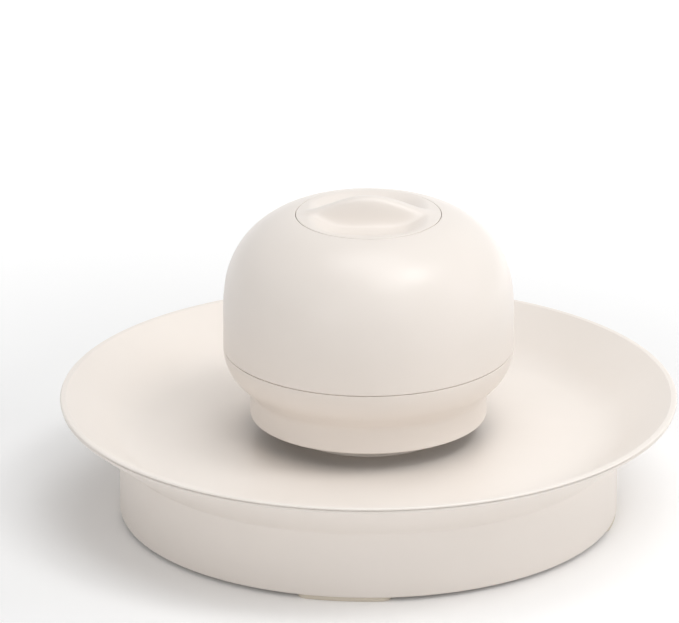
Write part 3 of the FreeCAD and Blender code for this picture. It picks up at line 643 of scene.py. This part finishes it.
def to_linear(colour):
    """Linear values of an sRGB hex colour, with alpha 1."""
    values = []
    for place in (0, 2, 4):
        share = int(colour[place:place + 2], 16) / 255
        values.append(share / 12.92 if share <= KNEE else ((share + 0.055) / 1.055) ** 2.4)
    return (*values, 1.0)


def add_node(tree, kind, settings=None, links=None):
    """Add a node, set its attributes or inputs, and link sockets to its inputs."""
    node = tree.nodes.new(kind)
    for key, value in (settings or {}).items():
        if isinstance(key, int) or key in node.inputs:
            node.inputs[key].default_value = value
        else:
            setattr(node, key, value)
    for key, socket in (links or {}).items():
        tree.links.new(socket, node.inputs[key])
    return node


def empty_tree(owner):
    """The node tree of a material or world, with no nodes yet."""
    owner.use_nodes = True
    owner.node_tree.nodes.clear()
    return owner.node_tree


print("f0e8e1 in linear values:", [round(value, 3) for value in to_linear("f0e8e1")[:3]])

# %% [markdown]
# A plastic or rubber moulding has clouds of colour about 45 mm across, as the pigment flowed in
# the mould, a gloss that follows them, and a grain of fine bumps. All are noise in Object
# coordinates, so they stay on the piece when it moves. A noise with a scale of 1000 / 45 has
# clouds of 45 mm, because a scale counts them per metre. The Bump node tilts the light
# without adding faces. The real grain is about 0.03 mm across and can't be seen, so it is
# drawn ten times coarser.

# %% Moulded plastic and rubber
CLOUDS = 45.0


def moulded(name, dark, light, roughness, ior=1.54, grain=0.35, depth=0.012):
    """Moulded plastic or rubber: faint clouds of colour, a fine grain, and a changing gloss."""
    material = bpy.data.materials.new(name)
    tree = empty_tree(material)
    place = add_node(tree, "ShaderNodeTexCoord").outputs["Object"]
    clouds = add_node(
        tree, "ShaderNodeTexNoise", {"Scale": 1000 / CLOUDS, "Detail": 3.0}, {"Vector": place}
    )
    colour = add_node(
        tree, "ShaderNodeMix", {"data_type": "RGBA", 6: to_linear(dark), 7: to_linear(light)},
        {"Factor": clouds.outputs["Fac"]},
    )
    gloss = add_node(
        tree, "ShaderNodeMapRange",
        {"From Min": 0.3, "From Max": 0.7, "To Min": roughness - 0.03, "To Max": roughness + 0.04},
        {"Value": clouds.outputs["Fac"]},
    )
    texture = add_node(
        tree, "ShaderNodeTexNoise", {"Scale": 1000 / grain, "Detail": 2.0}, {"Vector": place}
    )
    bump = add_node(
        tree, "ShaderNodeBump", {"Strength": 1.0, "Distance": depth * MM},
        {"Height": texture.outputs["Fac"]},
    )
    shader = add_node(
        tree, "ShaderNodeBsdfPrincipled", {"IOR": ior},
        {
            "Base Color": colour.outputs[2],
            "Roughness": gloss.outputs["Result"],
            "Normal": bump.outputs["Normal"],
        },
    )
    add_node(tree, "ShaderNodeOutputMaterial", {}, {"Surface": shader.outputs["BSDF"]})
    return material


print("clouds of", CLOUDS, "mm need a noise scale of", round(1000 / CLOUDS, 1))

# %% [markdown]
# The four screws are steel with a thin zinc plating. A plain grey with metallic at 1 would do
# from far away. Small marks 0.8 mm across in the gloss keep the heads from looking painted.

# %% Plated steel
MARKS = 0.8


def plated_steel(name, colour, roughness):
    """Plated steel: a metal whose gloss changes with the fine marks of its plating."""
    material = bpy.data.materials.new(name)
    tree = empty_tree(material)
    place = add_node(tree, "ShaderNodeTexCoord").outputs["Object"]
    marks = add_node(
        tree, "ShaderNodeTexNoise", {"Scale": 1000 / MARKS, "Detail": 2.0}, {"Vector": place}
    )
    gloss = add_node(
        tree, "ShaderNodeMapRange",
        {"From Min": 0.3, "From Max": 0.7, "To Min": roughness - 0.08, "To Max": roughness + 0.08},
        {"Value": marks.outputs["Fac"]},
    )
    shader = add_node(
        tree, "ShaderNodeBsdfPrincipled", {"Base Color": to_linear(colour), "Metallic": 1.0},
        {"Roughness": gloss.outputs["Result"]},
    )
    add_node(tree, "ShaderNodeOutputMaterial", {}, {"Surface": shader.outputs["BSDF"]})
    return material


print("marks of", MARKS, "mm need a noise scale of", round(1000 / MARKS))

# %% [markdown]
# The colours and the gloss of the six materials were first taken from typical values: an index
# of refraction of 1.54 for ABS, 1.5 for the rubber and 1.41 for silicone. Then they were matched
# to the object under the lamps below. A metal keeps the default index.

# %% Materials
# Moulded ABS off a fine texture: a soft, wide highlight on the dome and the lid.
shell_plastic = moulded("abs_plastic_satin_shell", "ece4dc", "f0e8e1", 0.32)
# The same plastic off a duller mould, its colour painted a shade lighter as painted light for
# the dish's brighter floor and walls. It shades evenly, with no patch on its floor.
dish_plastic_painted_light = moulded("abs_plastic_satin_dish_painted_light", "f2eae2", "f6efe8", 0.38)
# A matte mould face: the upright wall stays calm and doesn't mirror the floor.
base_plastic = moulded("abs_plastic_matte_base", "ede5dd", "f1e9e2", 0.45)
# Moulded thermoplastic rubber: darker, almost without gloss, with a grain that can be felt.
pad_rubber = moulded(
    "tpe_rubber_moulded_pad", "d9cfbf", "e0d6c7", 0.7, ior=1.5, grain=0.6, depth=0.03
)
# Pressed silicone: cooler in colour than the plastic, with a smooth, soft sheen.
seal_rubber = moulded("silicone_rubber_pressed", "dcdad5", "e4e2de", 0.35, ior=1.41)
# Steel with a thin zinc plating: bright grey, with small dull marks.
zinc_steel = plated_steel("zinc_plated_steel", "c3c5c8", 0.34)
print(len(bpy.data.materials), "materials with those of the bare solids")

# %% [markdown]
# Each piece gets one material on all its faces. The bottom plate and the screws keep their
# solids, whose plain shapes are right, and only their materials change. All the hidden
# mouldings share the plastic of the shell.

# %% Dressing the pieces
def dress(item, material):
    """Give a piece one material on all its faces, and print its name and material."""
    item.data.materials.clear()
    item.data.materials.append(material)
    for polygon in item.data.polygons:
        polygon.material_index = 0
    print(item.name, "is", material.name)


# The dish's lighter colour is painted light for its brighter floor and walls.
dress(dish, dish_plastic_painted_light)
dress(base, base_plastic)
dress(ring, shell_plastic)
dress(dome, shell_plastic)
dress(lid, shell_plastic)
dress(cup, shell_plastic)
dress(cone, shell_plastic)
dress(seal, seal_rubber)
for name in ("front", "right", "rear", "left"):
    dress(bpy.data.objects["pad_" + name], pad_rubber)
dress(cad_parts["bottom_plate"], base_plastic)
dress(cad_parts["plate_screws"], zinc_steel)

# %% [markdown]
# The studio floor is a sheet of white paper, which keeps the feeder's shadow. It could be a
# curved backdrop, but with a white world behind it a flat sheet has no visible edge.

# %% Floor
FLOOR_HALF = 6
sheet = bmesh.new()
bmesh.ops.create_grid(sheet, x_segments=1, y_segments=1, size=FLOOR_HALF)
floor_mesh = bpy.data.meshes.new("floor")
sheet.to_mesh(floor_mesh)
sheet.free()
floor = bpy.data.objects.new("floor", floor_mesh)
bpy.context.scene.collection.objects.link(floor)
print("the floor is", floor.dimensions.x, "m wide")

# %% [markdown]
# Plain white paper would turn grey where the lamps don't reach. More light would whiten it, but
# the feeder too. So the paper glows a little more the further it is from the feeder, and only
# for rays that see it: those from the camera, off a gloss or through glass. Light that
# bounces from the paper onto the feeder is that of plain paper.

# %% White paper
def seen_rays(tree):
    """1 for rays that see the background, and 0 for rays that light a surface."""
    path = add_node(tree, "ShaderNodeLightPath")
    seen = add_node(
        tree, "ShaderNodeMath", {"operation": "MAXIMUM"},
        {0: path.outputs["Is Camera Ray"], 1: path.outputs["Is Glossy Ray"]},
    )
    either = add_node(
        tree, "ShaderNodeMath", {"operation": "MAXIMUM"},
        {0: seen.outputs[0], 1: path.outputs["Is Transmission Ray"]},
    )
    return either.outputs[0]


PAPER = (0.98, 0.98, 0.98, 1)
GLOW_FROM, GLOW_TO = 0.3, 1.6
paper = bpy.data.materials.new("white_paper_floor")
tree = empty_tree(paper)
place = add_node(tree, "ShaderNodeTexCoord").outputs["Object"]
away = add_node(tree, "ShaderNodeVectorMath", {"operation": "LENGTH"}, {0: place})
spread = add_node(
    tree, "ShaderNodeMapRange",
    {"From Min": GLOW_FROM, "From Max": GLOW_TO, "To Min": 0.02, "To Max": 1.0},
    {"Value": away.outputs["Value"]},
)
lift = add_node(
    tree, "ShaderNodeMath", {"operation": "MULTIPLY"},
    {0: spread.outputs["Result"], 1: seen_rays(tree)},
)
matte = add_node(tree, "ShaderNodeBsdfDiffuse", {"Color": PAPER})
glow = add_node(tree, "ShaderNodeEmission", {}, {"Strength": lift.outputs[0]})
both = add_node(tree, "ShaderNodeAddShader", {}, {0: matte.outputs[0], 1: glow.outputs[0]})
add_node(tree, "ShaderNodeOutputMaterial", {}, {"Surface": both.outputs[0]})
floor_mesh.materials.append(paper)
print("the paper glows from", GLOW_FROM, "to", GLOW_TO, "m from the feeder's axis")

# %% [markdown]
# The world is the soft light from all sides. A strength of 1 is white, which suits the
# background, but it would wash the shadows out. So it is white where it is seen, behind the
# feeder and in its gloss, and about a third as strong as a light.

# %% World
WORLD_LIGHT = 0.345
world = bpy.data.worlds.new("studio")
bpy.context.scene.world = world
tree = empty_tree(world)
strength = add_node(
    tree, "ShaderNodeMapRange", {"To Min": WORLD_LIGHT, "To Max": 1.0}, {"Value": seen_rays(tree)}
)
sky = add_node(
    tree, "ShaderNodeBackground", {"Color": (1, 1, 1, 1)}, {"Strength": strength.outputs["Result"]}
)
add_node(tree, "ShaderNodeOutputWorld", {}, {"Surface": sky.outputs[0]})
print("the world lights with", WORLD_LIGHT, "and is seen as 1.0")

# %% [markdown]
# One soft key lamp from the upper right makes the bright patch on the dome and the shadow to
# the left. The others only fill: each stands where the photograph shows light on the
# shells, and those that would add a patch of their own are hidden from the gloss.

# %% Lamps
AWAY, AIM_HEIGHT = 2.4, 0.08


def lamp(name, around, above, size, power, mirrored=True):
    """A round soft lamp, at an angle round from the right and one above the floor."""
    turn, rise = math.radians(around), math.radians(above)
    aim = Vector((math.cos(rise) * math.cos(turn), math.cos(rise) * math.sin(turn), math.sin(rise)))
    data = bpy.data.lights.new(name, "AREA")
    data.shape = "DISK"
    data.size = size
    data.energy = power
    item = bpy.data.objects.new(name, data)
    item.location = Vector((0, 0, AIM_HEIGHT)) + AWAY * aim
    item.rotation_euler = aim.to_track_quat("Z", "Y").to_euler()
    item.visible_glossy = mirrored
    bpy.context.scene.collection.objects.link(item)
    print(name, "at", around, "degrees round and", above, "up, with", power, "W")


lamp("top", 0, 90, 1.6, 13.0)
lamp("key", -22, 60, 0.8, 8.8)
lamp("front_high", -60, 60, 1.2, 7.6)
lamp("right_low", 0, 20, 1.2, 10.7, mirrored=False)
lamp("rear_right", 60, 60, 1.2, 3.2, mirrored=False)
lamp("rear_right_low", 60, 20, 1.2, 3.6, mirrored=False)
lamp("front_left_low", 240, 20, 1.2, 6.1, mirrored=False)
lamp("front_right_low", 300, 20, 1.2, 3.2, mirrored=False)
lamp("left_low", 180, 20, 1.2, 1.2, mirrored=False)

# %% [markdown]
# The camera looks down at 20.6 degrees from 4.8 m with a long lens, so that the rim's ellipse
# and the dome's height stand to each other as in the photograph. A wide lens close by could
# show the same rim, but with a taller dome. The small shift frames the feeder a little to the
# right of the middle without turning the camera.

# %% Camera
LOOK_DOWN, PICTURE_WIDE, SHIFT_PIXELS = 20.6, 679, -29
camera_data = bpy.data.cameras.new("camera")
camera_data.lens = 437.4
camera_data.sensor_width = 36
camera_data.shift_x = SHIFT_PIXELS / PICTURE_WIDE
camera_data.clip_end = 50
camera = bpy.data.objects.new("camera", camera_data)
camera.location = (0, -4.490, 1.810)
camera.rotation_euler = (math.radians(90 - LOOK_DOWN), 0, 0)
bpy.context.scene.collection.objects.link(camera)
bpy.context.scene.camera = camera
bpy.context.scene.view_settings.view_transform = "Standard"
print("the camera is", round(camera.location.length, 2), "m from the feeder's foot")
